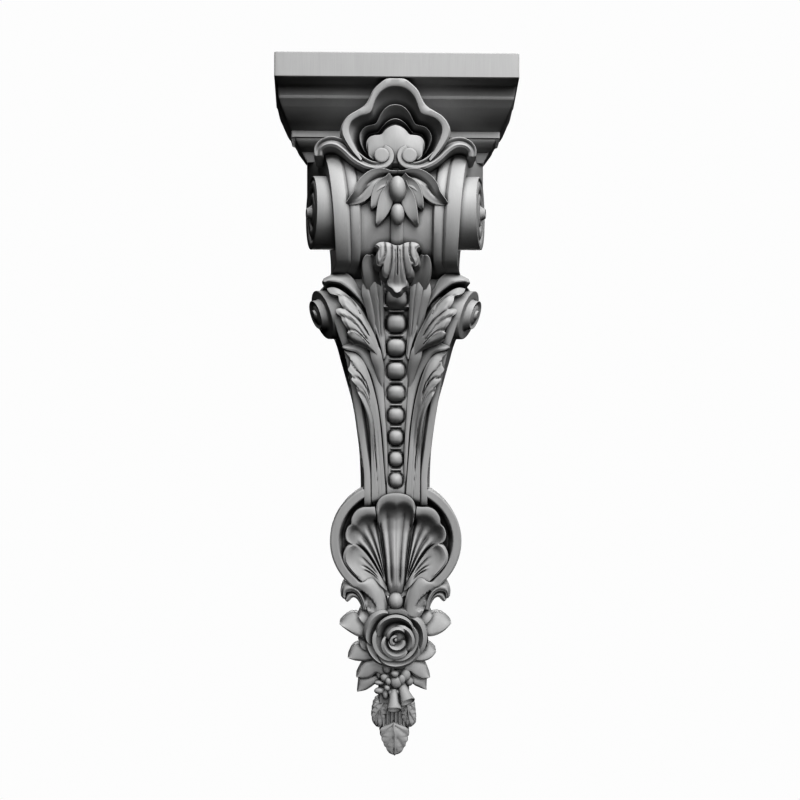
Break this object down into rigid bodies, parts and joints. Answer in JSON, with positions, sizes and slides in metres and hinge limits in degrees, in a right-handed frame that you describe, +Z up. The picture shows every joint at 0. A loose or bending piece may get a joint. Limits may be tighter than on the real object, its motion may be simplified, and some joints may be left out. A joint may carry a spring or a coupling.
{
  "type": "wooden corbel bracket",
  "caption": "Carved corbel bracket fixed by its flat back: a moulded shelf over a scrolled console, a beaded leg, a shell in a keyhole ring and a hanging rose with leaves.",
  "frame": {"origin": "on the flat back that meets the wall, on the centre line, 40 mm below the top of the shelf", "axes": "+Z up, +Y into the wall, so the carved front faces -Y, +X to the right when the front is looked at"},
  "size_m": [0.216, 0.096, 0.6],
  "materials": {
    "painted_wood": "hardwood carved in the round, sanded and painted neutral mid grey, eggshell sheen, with the grain showing faintly through"
  },
  "bodies": {
    "root": {"corbel": "painted_wood"}
  },
  "joints": []
}
